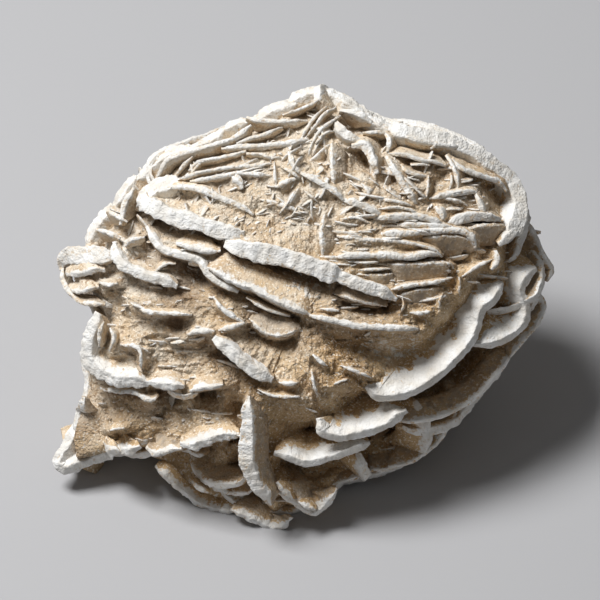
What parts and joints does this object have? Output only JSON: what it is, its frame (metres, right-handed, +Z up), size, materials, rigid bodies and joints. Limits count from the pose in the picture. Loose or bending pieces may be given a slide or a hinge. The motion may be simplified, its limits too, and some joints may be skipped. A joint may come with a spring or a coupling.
{
  "type": "gypsum sand rose",
  "caption": "Natural sand rose: flat lens-shaped gypsum crystals grown together edge-on into a rounded sandy cluster, to stand on a shelf as a mineral specimen.",
  "frame": {"origin": "under the middle of the cluster's box, on the surface that it stands on", "axes": "+Z up; the face with the thick collar band looks toward -Y and upward, and +X is to the right of someone who faces it"},
  "size_m": [0.0829, 0.0592, 0.0539],
  "materials": {
    "sandy_gypsum": "matt, sandy tan faces with chalk-white crystal rims"
  },
  "bodies": {
    "root": {"sand_rose": "sandy_gypsum"}
  },
  "joints": []
}
